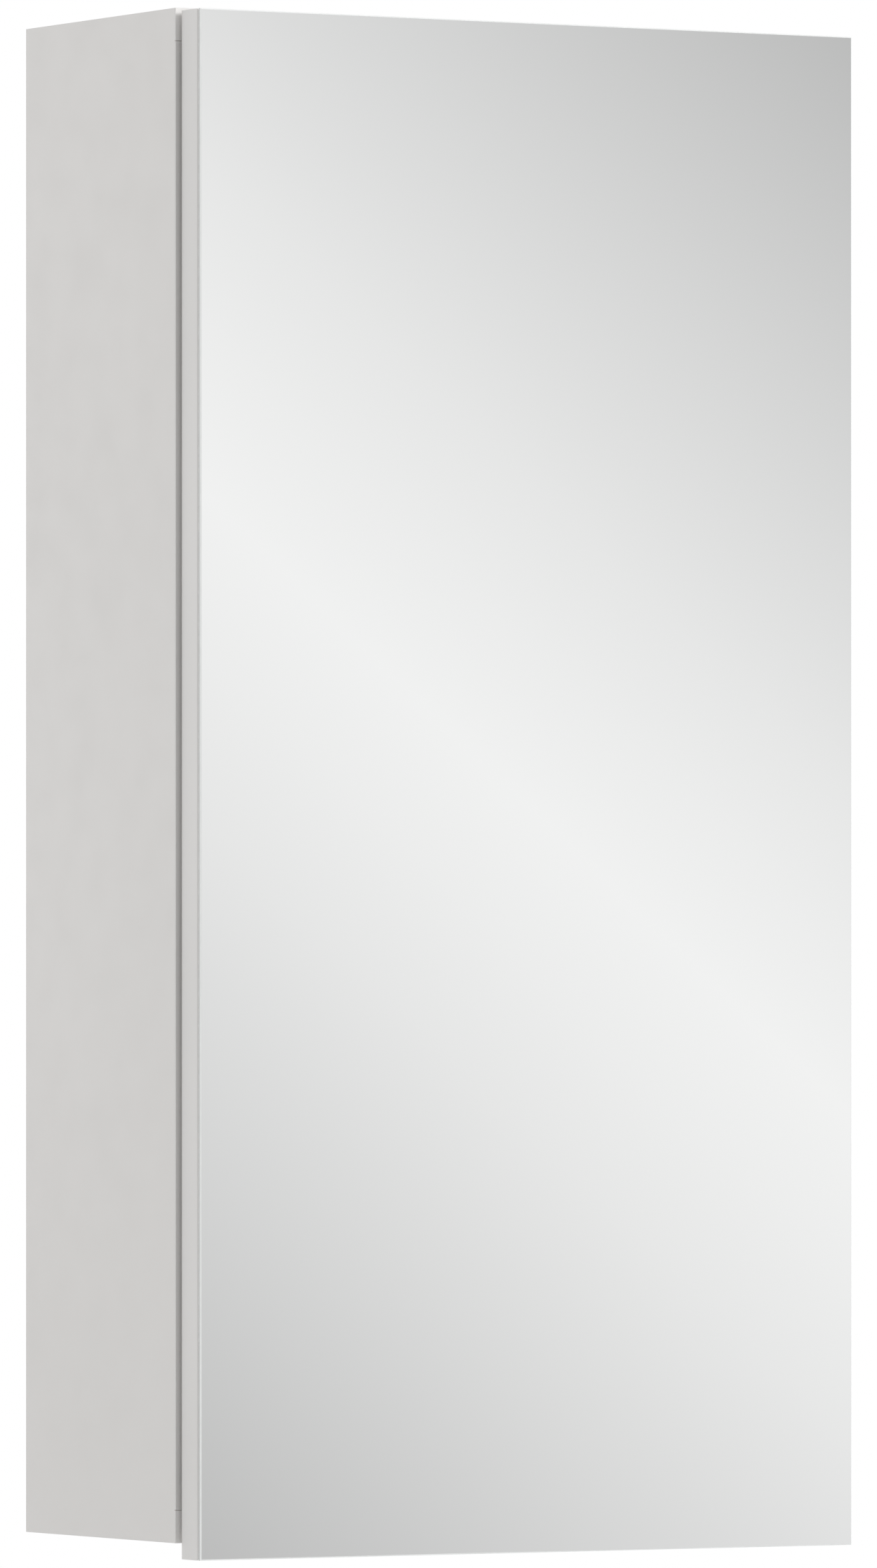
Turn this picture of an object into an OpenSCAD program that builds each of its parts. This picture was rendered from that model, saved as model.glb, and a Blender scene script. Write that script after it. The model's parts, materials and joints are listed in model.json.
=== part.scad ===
// Wall-hung mirror cabinet with one door on concealed cup hinges.
// X is to the right, Y towards the wall and Z up. The origin is in the wall plane,
// at the middle of the carcass's width and at its underside.

/* [Carcass] */
// Outer width of the carcass
carcass_w = 350; // [300:1:450]
// Outer height of the carcass
carcass_h = 700; // [640:1:900]
// Depth from the wall to the carcass's front edge
carcass_d = 146; // [140:1:180]
// Thickness of the sides, top and bottom
board_t = 15; // [15:0.5:18]
// Thickness of the front edging strips
edging_t = 1; // [0.5:0.1:2]

/* [Back panel] */
// Thickness of the back panel
back_t = 3; // [3:0.5:4]
// Recess behind the back panel, for the wall rail
back_inset = 14; // [12:0.5:18]
// Depth of the groove that holds the back panel
groove_depth = 7; // [5:0.5:9]
// Play of the back panel in its groove, on each side
groove_play = 0.1; // [0.05:0.05:0.3]

/* [Corner fittings] */
// Radius of the corner dowels
dowel_r = 4; // [3:0.5:4]
// Depth of a dowel in the side panel
dowel_in_side = 10; // [8:0.5:11]
// Depth of a dowel in the top or bottom panel
dowel_in_panel = 20; // [16:1:25]
// Front dowels' distance from the carcass front
dowel_front = 36; // [30:1:45]
// Rear dowels' distance from the wall plane
dowel_rear = 35; // [30:1:45]
// Radius of a cam lock
cam_r = 7.4; // [6:0.1:8]
// Height of a cam lock
cam_h = 11; // [10:0.1:11.5]
// Distance from the panel's end to the cam's axis
cam_inset = 24; // [20:0.5:34]
// Thickness of a cam's cap
cam_cap_t = 1.2; // [1:0.1:1.5]
// Radius of a cam bolt's shaft
cam_bolt_r = 2.2; // [2:0.1:2.5]
// Depth of a cam bolt's thread in the side panel
cam_bolt_in_side = 10.5; // [9:0.5:11]

/* [Shelves] */
// Height of the lower shelf's pins above the carcass underside
shelf_lower_z = 232; // [200:1:260]
// Height of the upper shelf's pins above the carcass underside
shelf_upper_z = 451; // [420:1:480]
// Thickness of a glass shelf
shelf_t = 5; // [4:0.5:8]
// Depth of a glass shelf
shelf_d = 110; // [95:1:116]
// Gap between a shelf and the back panel
shelf_back_gap = 4; // [2:0.5:8]
// Radius of a shelf pin's peg
pin_r = 2.45; // [2:0.05:2.95]
// Radial play of a peg in its hole
pin_play = 0.05; // [0.02:0.01:0.1]
// Depth of a peg in the side panel
pin_in_side = 8; // [6:0.5:10]
// Radius of a pin's collar
collar_r = 4; // [3.5:0.1:5]
// Thickness of a pin's collar
collar_t = 1.2; // [0.8:0.1:2]
// Length of the finger that carries the shelf
finger_len = 9; // [7:0.5:14]
// Height of the finger's flat above the pin's axis
finger_flat = 2; // [1.5:0.1:2.2]
// Gap between a shelf's end and the pin's collar
shelf_end_gap = 0.4; // [0.2:0.1:1]
// Pitch of the pin holes
hole_pitch = 32; // [25:1:35]
// Pin holes above and below each shelf
spare_holes = 2; // [1:1:2]
// Front row's distance from the carcass front
row_front = 37; // [37:0.5:45]
// Distance between the front and rear rows
row_gap = 64; // [50:1:72]

/* [Hangers] */
// Width of a hanger's body
hanger_w = 18; // [16:0.5:22]
// Depth of a hanger's body
hanger_d = 32; // [28:0.5:38]
// Height of a hanger's body
hanger_h = 62; // [56:1:70]
// Gap between a hanger and the top panel
hanger_top_gap = 3; // [1:0.5:6]
// Thickness of a hook's plate
hook_t = 2.4; // [2:0.1:3]
// Height of a hook's bar
hook_bar_h = 15; // [12:0.5:18]
// Length of a hook's bar inside the hanger
hook_bar_in = 24; // [18:0.5:26]
// Thickness of a hook's lip, along Y
hook_lip_t = 3; // [2.5:0.1:4]
// Drop of a hook's lip below its bar
hook_lip_drop = 11; // [8:0.5:14]
// Distance from a hook's tip to the wall plane
hook_wall_gap = 3; // [2:0.5:4]
// Height adjustment of a hook, each way
hook_travel = 4; // [3:0.5:5]
// Side play of a hook in its slot
hook_play = 0.3; // [0.2:0.1:0.5]
// Wall of a hanger's cover
cover_t = 1.2; // [1:0.1:2]
// Gap between a cover and its hanger
cover_gap = 0.2; // [0.1:0.1:0.5]
// Radius of the covers' screwdriver holes and the screws' heads
hanger_screw_r = 3.5; // [3:0.1:4]
// Distance between a hanger's two screws
hanger_screw_gap = 26; // [22:1:30]

/* [Door] */
// Distance from the carcass's side to the door's side
door_side_inset = 1.5; // [0.5:0.1:2]
// Distance from the carcass top down to the door's top
door_top_drop = 1.5; // [0:0.5:5]
// Overhang of the door below the carcass, for the fingers
door_overhang = 7.2; // [5:0.1:15]
// Gap between the carcass front and the door's back
door_gap = 2.5; // [2.4:0.1:4]
// Thickness of the door board
door_board_t = 16; // [15:0.5:19]
// Thickness of the door's edging
door_edging_t = 1; // [0.5:0.1:2]
// Rounding of the door edging, front and back
door_round = 1; // [0.3:0.1:2]
// Radius of a bumper pad
pad_r = 5; // [4:0.5:6]
// Bumper pads' distance from the carcass's ends
pad_from_end = 30; // [25:1:60]

/* [Mirror] */
// Thickness of the adhesive tape behind the glass
tape_t = 0.6; // [0.3:0.1:2]
// Width of a tape strip
tape_w = 25; // [15:1:35]
// Number of tape strips
tape_count = 4; // [3:1:5]
// Gap between the tape's ends and the glass's edge
tape_margin = 6; // [4:1:20]
// Thickness of the glass
mirror_t = 2; // [2:0.5:5]
// Ground arris round the front of the glass
mirror_arris = 0.5; // [0.3:0.1:0.9]
// Ground arris round the back of the glass
mirror_rear_arris = 0.2; // [0.1:0.1:0.8]

/* [Hinge cup] */
// Distance of each hinge from the door's end
hinge_from_end = 100; // [90:1:120]
// Distance from the door's edge to the cup's axis
cup_edge = 22; // [21.5:0.1:22.5]
// Radius of the bore for the cup
cup_bore_r = 17.5; // [17.5:0.1:17.8]
// Depth of the bore for the cup
cup_bore_depth = 12.2; // [12:0.1:13]
// Wall of the cup
cup_wall = 0.9; // [0.8:0.1:1]
// Radial play of the cup in its bore
cup_play = 0.1; // [0.05:0.01:0.15]
// Thickness of the cup's flange
flange_t = 1; // [0.8:0.1:1.2]
// Radius of the cup's flange
flange_r = 19; // [18.5:0.1:19.5]
// Offset of the cup's screws from the cup's axis
cup_screw_offset = 9.5; // [8.5:0.1:10]
// Distance between the cup's two screws
cup_screw_gap = 45; // [44:0.5:48]
// Radius of the cup screws' shanks
cup_screw_r = 1.5; // [1.2:0.1:1.8]
// Length of the cup screws in the board
cup_screw_len = 10; // [8:0.5:11]

/* [Hinge linkage] */
// Distance of the cup's pivots from the door's edge
cup_pivot_edge = 12.5; // [12.4:0.1:12.8]
// Depth of the outer link's cup pivot below the door's back
outer_cup_depth = 2.6; // [2.5:0.05:2.7]
// Depth of the inner link's cup pivot below the door's back
inner_cup_depth = 8; // [7.8:0.1:8.1]
// Distance of the arm's pivots from the door's edge
arm_pivot_edge = 34; // [33.8:0.1:34.2]
// Height of the outer link's arm pivot above the door's back
outer_arm_height = 2.45; // [2.3:0.05:2.6]
// Depth of the inner link's arm rivets below the door's back
inner_arm_depth = 6.2; // [6:0.1:6.4]
// Length of the inner link between its centres
inner_link_len = 22.9; // [22.6:0.1:23]
// Tilt of the inner link against the door, in degrees
inner_link_tilt = 6.9; // [6.5:0.1:7.5]
// Length of the outer link's crank at the cup
crank_len = 5; // [4.5:0.1:5.4]
// Angle of the crank against the outer link, in degrees
crank_angle = 42; // [36:1:46]
// Half the width of both links
link_r = 1.9; // [1.8:0.05:2.1]
// Radius of the hinge's pivots
pivot_r = 1.25; // [1:0.05:1.35]
// Radial running clearance of a pivot in its link
pivot_play = 0.05; // [0.02:0.01:0.09]
// Half the height of the inner link
inner_half = 3.4; // [2.8:0.1:3.5]
// Thickness of the outer link's cheeks and of the arm's sheet
sheet_t = 1.3; // [1:0.1:1.5]
// Gap between the layers of the linkage
layer_gap = 0.4; // [0.3:0.05:0.5]
// Thickness of a rivet's head
rivet_head_t = 0.6; // [0.4:0.1:0.8]
// Radius of a rivet's head
rivet_head_r = 1.9; // [1.6:0.1:2]

/* [Hinge arm and plate] */
// Radius of the arm's tip
arm_tip_r = 2; // [1.8:0.1:2]
// Depth of the arm's channel, from its web towards the side panel
arm_channel = 17; // [14:0.5:18]
// Distance of the arm's body behind the carcass front
arm_start = 4; // [3:0.5:6]
// Length of the arm's body
arm_len = 58; // [54:1:66]
// Distance of the plate's centre behind the carcass front
plate_setback = 37; // [37:0.5:38]
// Thickness of the plate's wings
wing_t = 2; // [1.6:0.1:2.5]
// Width of the plate's wings, along Y
wing_w = 16; // [14:0.5:20]
// Distance between the plate's two screws
plate_screw_gap = 32; // [28:1:36]
// Radius of the plate screws' shanks
plate_screw_r = 1.75; // [1.5:0.05:2]
// Length of the plate screws in the side panel
plate_screw_len = 12; // [10:0.5:13]
// Radius of the heads of the hinge's screws
screw_head_r = 3.2; // [2.8:0.1:3.4]
// Height of the heads of the hinge's screws
screw_head_h = 1.6; // [1.2:0.1:2]
// Radius of the arm screws' shanks
arm_screw_r = 2; // [1.8:0.1:2.2]
// Distance between the arm's two screws
arm_screw_gap = 22; // [18:0.5:26]

/* [Hidden] */
$fn = 48;
eps = 0.5;

// Colours as the photo shows them, or usual for a piece that it doesn't show
white_board = [0.81, 0.808, 0.8];
white_edge = [0.8, 0.795, 0.78];
white_plastic = [0.9, 0.9, 0.89];
mirror_grey = [0.9, 0.91, 0.92];
tape_black = [0.12, 0.12, 0.12];
steel = [0.72, 0.73, 0.74];
wood = [0.8, 0.66, 0.47];
shelf_glass = [0.72, 0.86, 0.82];
clear_rubber = [0.85, 0.87, 0.87];

// Planes of the carcass
side_out = carcass_w / 2;
side_in = side_out - board_t;
board_front = -(carcass_d - edging_t);
carcass_front = -carcass_d;
top_under = carcass_h - board_t;
back_rear = -back_inset;
back_front = -(back_inset + back_t);

// Planes of the door
door_edge = side_out - door_side_inset;
door_back = carcass_front - door_gap;
door_front = door_back - door_board_t;
door_low = -door_overhang;
door_high = carcass_h - door_top_drop;
tape_front = door_front - tape_t;
mirror_front = tape_front - mirror_t;
// The rounding can't be larger than the edging is thick
edge_round = min(door_round, door_edging_t);

// Corner fittings
dowel_ys = [carcass_front + dowel_front, -dowel_rear];
cam_y = (dowel_ys[0] + dowel_ys[1]) / 2;
cam_x = side_in - cam_inset;
cam_bore_depth = cam_h + cam_cap_t;
fitting_play = 0.1;
screw_end_gap = 0.5;
bolt_thread_r = 2.5;
bolt_channel_r = 3.6;
bolt_head_r = 3.2;
bolt_head_len = 3;

// Shelves
row_ys = [carcass_front + row_front, carcass_front + row_front + row_gap];
shelf_levels = [shelf_lower_z, shelf_upper_z];
shelf_end = side_in - collar_t - shelf_end_gap;
shelf_rear = back_front - shelf_back_gap;
pin_end_gap = 0.5;
hole_depth = pin_in_side + pin_end_gap;

// Hangers
hanger_top = top_under - hanger_top_gap;
hanger_low = hanger_top - hanger_h;
hanger_x = side_in - hanger_w / 2;
hanger_front = back_front - hanger_d;
hook_z = hanger_top - hanger_h / 2;
hook_slot_half = hook_bar_h / 2 + hook_travel + hook_play;
hook_rear = -hook_wall_gap;
hook_low = hook_z - hook_bar_h / 2 - hook_lip_drop;
cut_margin = 2;
cut_half_w = hook_t / 2 + cut_margin;
cut_low = hook_low - hook_travel - cut_margin;
cut_high = hook_z + hook_slot_half + cut_margin;
lip_slot_depth = 4;
head_sink = 2;
screw_pocket = 8;

// Hinges, whose pivots are set out from the door's edge and back
hinge_zs = [door_low + hinge_from_end, door_high - hinge_from_end];
cup_x = door_edge - cup_edge;
cup_r = cup_bore_r - cup_play;
cup_floor_gap = 0.2;
cup_depth = cup_bore_depth - cup_floor_gap;
outer_cup = [door_edge - cup_pivot_edge, door_back - outer_cup_depth];
inner_cup = [door_edge - cup_pivot_edge, door_back - inner_cup_depth];
outer_arm = [door_edge - arm_pivot_edge, door_back + outer_arm_height];
inner_arm = [door_edge - arm_pivot_edge, door_back - inner_arm_depth];
inner_end = inner_cup + inner_link_len * [-cos(inner_link_tilt), sin(inner_link_tilt)];
link_angle = atan2(outer_arm[1] - outer_cup[1], outer_arm[0] - outer_cup[0]);
crank = outer_cup + crank_len * [cos(link_angle + crank_angle), sin(link_angle + crank_angle)];
crank_arm_angle = atan2(crank[1] - outer_arm[1], crank[0] - outer_arm[0]);
cheek_in = inner_half + layer_gap;
cheek_out = cheek_in + sheet_t;
arm_in = cheek_out + layer_gap;
arm_out = arm_in + sheet_t;
arm_tip_step = 1;
arm_web_x = outer_arm[0] - arm_tip_r - arm_tip_step;
arm_body_y = carcass_front + arm_start;
plate_y = carcass_front + plate_setback;
cup_pin_gap = 0.1;
pivot_chord = sqrt(pow(cup_r - cup_pin_gap, 2) - pow(cup_edge - cup_pivot_edge + pivot_r, 2));
block_x = arm_web_x + sheet_t;
block_margin = 6;
arm_screw_reach = 9;
web_start = 2.2;
web_end = 8;

// A block between two opposite corners
module block(low, high) {
    translate(low) cube(high - low);
}

// A round bar or bore along X from one point
module rod_x(from, length, r) {
    translate(from) rotate([0, 90, 0]) cylinder(h = length, r = r);
}

// A round bar or bore along Y from one point
module rod_y(from, length, r) {
    translate(from) rotate([-90, 0, 0]) cylinder(h = length, r = r);
}

// A bar along Z, centred on a height, at a point of the plan
module rod_z(point, z, half, r) {
    translate([point[0], point[1], z - half]) cylinder(h = 2 * half, r = r);
}

// A flat outline with round ends from one point to another
module capsule(from, to, r) {
    d = to - from;
    translate(from) circle(r);
    translate(to) circle(r);
    translate(from) rotate(atan2(d[1], d[0])) translate([0, -r]) square([norm(d), 2 * r]);
}

// A rectangle with true round corners
module rounded_rect(low, high, r) {
    translate(low + [r, 0]) square(high - low - [2 * r, 0]);
    translate(low + [0, r]) square(high - low - [0, 2 * r]);
    for (x = [low[0] + r, high[0] - r], y = [low[1] + r, high[1] - r]) translate([x, y]) circle(r, $fn = 32);
}

// A plan outline raised between two heights
module raised(low, high) {
    translate([0, 0, low]) linear_extrude(high - low) children();
}

// Two copies of a plan outline, above and below a height
module both_cheeks(z, inner, outer) {
    raised(z + inner, z + outer) children();
    raised(z - outer, z - inner) children();
}

module mirrored(left) {
    mirror([left ? 1 : 0, 0, 0]) children();
}

// Holes that both side panels share, drawn on the right
module side_drilling() {
    for (z = [board_t / 2, carcass_h - board_t / 2]) {
        for (y = dowel_ys) rod_x([side_in - eps, y, z], dowel_in_side + eps + fitting_play, dowel_r);
        rod_x([side_in - eps, cam_y, z], cam_bolt_in_side + eps + fitting_play, bolt_thread_r);
    }
    for (level = shelf_levels, i = [-spare_holes : spare_holes], y = row_ys)
        rod_x([side_in - eps, y, level + i * hole_pitch], hole_depth + eps, pin_r + pin_play);
    block([side_in - eps, back_front - groove_play, board_t - groove_depth],
        [side_in + groove_depth, back_rear + groove_play, top_under + groove_depth]);
}

module side_panel(left) {
    color(white_board) mirrored(left) difference() {
        block([side_in, board_front, 0], [side_out, 0, carcass_h]);
        side_drilling();
        if (!left) for (z = hinge_zs, k = [-1, 1])
            rod_x([side_in - eps, plate_y, z + k * plate_screw_gap / 2], plate_screw_len + eps, plate_screw_r);
    }
}

// The top panel; the bottom panel is its mirror image
module level_panel(top) {
    color(white_board) translate([0, 0, top ? carcass_h : 0]) mirror([0, 0, top ? 1 : 0]) difference() {
        block([-side_in, board_front, 0], [side_in, 0, board_t]);
        for (left = [false, true]) mirrored(left) {
            for (y = dowel_ys)
                rod_x([side_in - dowel_in_panel - fitting_play, y, board_t / 2],
                    dowel_in_panel + fitting_play + eps, dowel_r);
            rod_x([cam_x, cam_y, board_t / 2], cam_inset + eps, bolt_channel_r);
            translate([cam_x, cam_y, -eps]) cylinder(h = cam_bore_depth + eps, r = cam_r + fitting_play);
        }
        block([-side_in - eps, back_front - groove_play, board_t - groove_depth],
            [side_in + eps, back_rear + groove_play, board_t + eps]);
    }
}

module back_panel() {
    reach = groove_depth - groove_play;
    color(white_board) difference() {
        block([-side_in - reach, back_front, board_t - reach],
            [side_in + reach, back_rear, top_under + reach]);
        for (left = [false, true]) mirrored(left)
            block([hanger_x - cut_half_w, back_front - eps, cut_low],
                [hanger_x + cut_half_w, back_rear + eps, cut_high]);
    }
}

module front_edging_level(low) {
    color(white_edge) block([-side_out, carcass_front, low], [side_out, board_front, low + board_t]);
}

module front_edging_upright(left) {
    color(white_edge) mirrored(left)
        block([side_in, carcass_front, board_t], [side_out, board_front, top_under]);
}

module corner_dowels() {
    color(wood) for (left = [false, true], z = [board_t / 2, carcass_h - board_t / 2], y = dowel_ys)
        mirrored(left) rod_x([side_in - dowel_in_panel, y, z], dowel_in_panel + dowel_in_side, dowel_r);
}

module cam_bolts() {
    color(steel) for (left = [false, true], z = [board_t / 2, carcass_h - board_t / 2]) mirrored(left) {
        rod_x([side_in, cam_y, z], cam_bolt_in_side, bolt_thread_r);
        rod_x([cam_x, cam_y, z], cam_inset, cam_bolt_r);
        rod_x([cam_x - bolt_head_len / 2, cam_y, z], bolt_head_len, bolt_head_r);
    }
}

// A cam with a pocket for the bolt's head, a slot for its shaft and a driver's slot
module cam_lock() {
    pocket_play = 0.2;
    driver_w = 1.6;
    driver_depth = 2;
    bolt_z = board_t / 2;
    difference() {
        translate([cam_x, cam_y, cam_cap_t]) cylinder(h = cam_h, r = cam_r);
        rod_x([cam_x - bolt_head_len / 2 - pocket_play, cam_y, bolt_z],
            bolt_head_len + 2 * pocket_play, bolt_head_r + pocket_play);
        rod_x([cam_x, cam_y, bolt_z], cam_r + eps, cam_bolt_r + pocket_play);
        block([cam_x - cam_r / 2, cam_y - driver_w / 2, cam_cap_t - eps],
            [cam_x + cam_r / 2, cam_y + driver_w / 2, cam_cap_t + driver_depth]);
    }
}

module cam_locks() {
    color(steel) for (left = [false, true], top = [false, true])
        mirrored(left) translate([0, 0, top ? carcass_h : 0]) mirror([0, 0, top ? 1 : 0]) cam_lock();
}

module cam_caps() {
    color(white_plastic) for (left = [false, true], z = [0, carcass_h - cam_cap_t])
        mirrored(left) translate([cam_x, cam_y, z]) cylinder(h = cam_cap_t, r = cam_r);
}

module shelf(level) {
    low = level + finger_flat;
    color(shelf_glass, 0.6)
        block([-shelf_end, shelf_rear - shelf_d, low], [shelf_end, shelf_rear, low + shelf_t]);
}

module shelf_pin(y, z) {
    rod_x([side_in, y, z], pin_in_side, pin_r);
    rod_x([side_in - collar_t, y, z], collar_t, collar_r);
    difference() {
        rod_x([side_in - collar_t - finger_len, y, z], finger_len, pin_r);
        block([side_in - collar_t - finger_len - eps, y - collar_r, z + finger_flat],
            [side_in - collar_t, y + collar_r, z + collar_r]);
    }
}

module shelf_pins() {
    color(steel) for (left = [false, true], z = shelf_levels, y = row_ys) mirrored(left) shelf_pin(y, z);
}

// Places of a hanger's two screws
function hanger_screw_z(k) = hook_z + k * hanger_screw_gap / 2;

module hanger_body(left) {
    shank_r = hanger_screw_r / 2;
    slot_half_w = hook_t / 2 + hook_play;
    color(white_plastic) mirrored(left) difference() {
        block([side_in - hanger_w, hanger_front, hanger_low], [side_in, back_front, hanger_top]);
        block([hanger_x - slot_half_w, back_front - hook_bar_in - hook_play, hook_z - hook_slot_half],
            [hanger_x + slot_half_w, back_front + eps, hook_z + hook_slot_half]);
        block([hanger_x - slot_half_w, back_front - lip_slot_depth, cut_low],
            [hanger_x + slot_half_w, back_front + eps, hook_z]);
        for (k = [-1, 1]) {
            rod_y([hanger_x, hanger_front - eps, hanger_screw_z(k)], head_sink + eps,
                hanger_screw_r + fitting_play);
            rod_y([hanger_x, hanger_front - eps, hanger_screw_z(k)], screw_pocket + eps, shank_r);
        }
    }
}

// A flat hook that reaches through the back panel and turns down over the wall rail
module hanger_hook(left) {
    half = hook_bar_h / 2;
    color(steel) mirrored(left) {
        block([hanger_x - hook_t / 2, back_front - hook_bar_in, hook_z - half],
            [hanger_x + hook_t / 2, hook_rear, hook_z + half]);
        block([hanger_x - hook_t / 2, hook_rear - hook_lip_t, hook_low],
            [hanger_x + hook_t / 2, hook_rear, hook_z - half]);
    }
}

// A thin shell over a hanger's front, sides and underside, with two driver's holes
module hanger_cover(left) {
    gap = cover_gap;
    reach = cover_gap + cover_t;
    color(white_plastic) mirrored(left) difference() {
        block([side_in - hanger_w - reach, hanger_front - reach, hanger_low - reach],
            [side_in, back_front, hanger_top]);
        block([side_in - hanger_w - gap, hanger_front - gap, hanger_low - gap],
            [side_in + eps, back_front + eps, hanger_top + eps]);
        for (k = [-1, 1])
            rod_y([hanger_x, hanger_front - reach - eps, hanger_screw_z(k)], reach + 2 * eps, hanger_screw_r);
    }
}

module hanger_screws() {
    head_t = 1.8;
    slot_w = 0.9;
    slot_len = 1.4 * hanger_screw_r;
    shank_r = hanger_screw_r / 2;
    color(steel) for (left = [false, true], k = [-1, 1]) mirrored(left) difference() {
        union() {
            rod_y([hanger_x, hanger_front + head_sink - head_t, hanger_screw_z(k)], head_t,
                hanger_screw_r - fitting_play);
            rod_y([hanger_x, hanger_front + head_sink, hanger_screw_z(k)], screw_pocket - head_sink, shank_r);
        }
        for (turn = [0, 90]) translate([hanger_x, hanger_front, hanger_screw_z(k)]) rotate([0, turn, 0])
            cube([slot_len, head_sink, slot_w], center = true);
    }
}

module hinge_plate(z) {
    wing_r = wing_w / 2;
    half_span = plate_screw_gap / 2;
    wing_x = side_in - wing_t;
    color(steel) difference() {
        union() {
            block([wing_x, plate_y - wing_r, z - half_span], [side_in, plate_y + wing_r, z + half_span]);
            for (k = [-1, 1]) rod_x([wing_x, plate_y, z + k * half_span], wing_t, wing_r);
            block([block_x, plate_y - arm_screw_gap / 2 - block_margin, z - arm_in],
                [side_in, plate_y + arm_screw_gap / 2 + block_margin, z + arm_in]);
        }
        for (k = [-1, 1]) rod_x([wing_x - eps, plate_y, z + k * half_span], wing_t + 2 * eps, plate_screw_r);
        for (k = [-1, 1])
            rod_x([block_x - eps, plate_y + k * arm_screw_gap / 2, z],
                arm_screw_reach + screw_end_gap + eps, arm_screw_r);
    }
}

// A screw along +X, whose head's underside is at the point
module screw_x(point, length, r) {
    slot_w = 0.9;
    slot_len = 1.3 * screw_head_r;
    difference() {
        union() {
            rod_x(point - [screw_head_h, 0, 0], screw_head_h, screw_head_r);
            rod_x(point, length, r);
        }
        for (turn = [0, 90]) translate(point - [screw_head_h, 0, 0]) rotate([turn, 0, 0])
            cube([screw_head_h, slot_len, slot_w], center = true);
    }
}

module hinge_plate_screws() {
    color(steel) for (z = hinge_zs, k = [-1, 1])
        screw_x([side_in - wing_t, plate_y, z + k * plate_screw_gap / 2],
            wing_t + plate_screw_len - screw_end_gap, plate_screw_r);
}

module hinge_arm_screws() {
    color(steel) for (z = hinge_zs, k = [-1, 1])
        screw_x([arm_web_x, plate_y + k * arm_screw_gap / 2, z], sheet_t + arm_screw_reach, arm_screw_r);
}

// Plan of one cheek of the arm, with its tip inside the cup
module arm_cheek() {
    difference() {
        union() {
            polygon([inner_arm - [arm_tip_r, 0], inner_arm + [arm_tip_r, 0], outer_arm + [arm_tip_r, 0],
                [arm_web_x + arm_channel, arm_body_y], [arm_web_x + arm_channel, arm_body_y + arm_len],
                [arm_web_x, arm_body_y + arm_len], [arm_web_x, arm_body_y], outer_arm - [arm_tip_r, 0]]);
            translate(inner_arm) circle(arm_tip_r);
        }
        translate(outer_arm) circle(pivot_r);
        translate(inner_arm) circle(pivot_r);
    }
}

module hinge_arm(z) {
    color(steel) difference() {
        union() {
            both_cheeks(z, arm_in, arm_out) arm_cheek();
            block([arm_web_x, arm_body_y, z - arm_out],
                [arm_web_x + sheet_t, arm_body_y + arm_len, z + arm_out]);
        }
        for (k = [-1, 1])
            rod_x([arm_web_x - eps, plate_y + k * arm_screw_gap / 2, z], sheet_t + 2 * eps, arm_screw_r);
    }
}

module rivet_heads(point, z) {
    both_cheeks(z, arm_out, arm_out + rivet_head_t) translate(point) circle(rivet_head_r);
}

// The outer link's pin runs right through; the inner link's rivets stop at the cheeks
module hinge_arm_pins() {
    color(steel) for (z = hinge_zs) {
        rod_z(outer_arm, z, arm_out, pivot_r);
        rivet_heads(outer_arm, z);
        both_cheeks(z, arm_in, arm_out) translate(inner_arm) circle(pivot_r);
        rivet_heads(inner_arm, z);
    }
}

module outer_link_cheek() {
    difference() {
        union() {
            capsule(outer_cup, crank, link_r);
            capsule(crank, outer_arm, link_r);
        }
        translate(outer_cup) circle(pivot_r + pivot_play);
        translate(outer_arm) circle(pivot_r + pivot_play);
    }
}

// Two cranked cheeks joined by a web on the side away from the inner link
module hinge_outer_link(z) {
    web_t = sheet_t - fitting_play;
    color(steel) {
        both_cheeks(z, cheek_in, cheek_out) outer_link_cheek();
        raised(z - cheek_out, z + cheek_out) translate(outer_arm) rotate(crank_arm_angle)
            translate([web_start, link_r - web_t]) square([web_end - web_start, web_t]);
    }
}

module hinge_inner_link(z) {
    color(steel) raised(z - inner_half, z + inner_half) difference() {
        capsule(inner_cup, inner_end, link_r);
        translate(inner_cup) circle(pivot_r + pivot_play);
    }
}

// Outline of the cup's flange, in X and Z about the cup's axis
module flange_outline() {
    ear_r = 6;
    circle(flange_r, $fn = 96);
    capsule([-cup_screw_offset, -cup_screw_gap / 2], [-cup_screw_offset, cup_screw_gap / 2], ear_r);
}

module hinge_cup(z) {
    inner_r = cup_r - cup_wall;
    color(steel) difference() {
        union() {
            rod_y([cup_x, door_back - cup_depth, z], cup_depth + eps, cup_r, $fn = 96);
            translate([cup_x, door_back + flange_t, z]) rotate([90, 0, 0]) linear_extrude(flange_t)
                flange_outline();
        }
        rod_y([cup_x, door_back - cup_depth + cup_wall, z], cup_depth + flange_t + eps, inner_r, $fn = 96);
        for (k = [-1, 1])
            rod_y([cup_x - cup_screw_offset, door_back - eps, z + k * cup_screw_gap / 2],
                flange_t + 2 * eps, cup_screw_r);
        rod_z(outer_cup, z, pivot_chord, pivot_r);
        rod_z(inner_cup, z, pivot_chord, pivot_r);
    }
}

module hinge_cup_pins() {
    color(steel) for (z = hinge_zs) {
        both_cheeks(z, inner_half + layer_gap / 2, pivot_chord) translate(outer_cup) circle(pivot_r);
        rod_z(inner_cup, z, pivot_chord, pivot_r);
    }
}

module hinge_cup_screws() {
    color(steel) for (z = hinge_zs, k = [-1, 1])
        translate([cup_x - cup_screw_offset, door_back + flange_t, z + k * cup_screw_gap / 2])
            rotate([0, 0, -90]) screw_x([0, 0, 0], flange_t + cup_screw_len - screw_end_gap, cup_screw_r);
}

module door_board() {
    color(white_board) difference() {
        block([-door_edge + door_edging_t, door_front, door_low + door_edging_t],
            [door_edge - door_edging_t, door_back, door_high - door_edging_t]);
        for (z = hinge_zs) {
            rod_y([cup_x, door_back - cup_bore_depth, z], cup_bore_depth + eps, cup_bore_r, $fn = 96);
            for (k = [-1, 1])
                rod_y([cup_x - cup_screw_offset, door_back - cup_screw_len, z + k * cup_screw_gap / 2],
                    cup_screw_len + eps, cup_screw_r);
        }
    }
}

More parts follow.
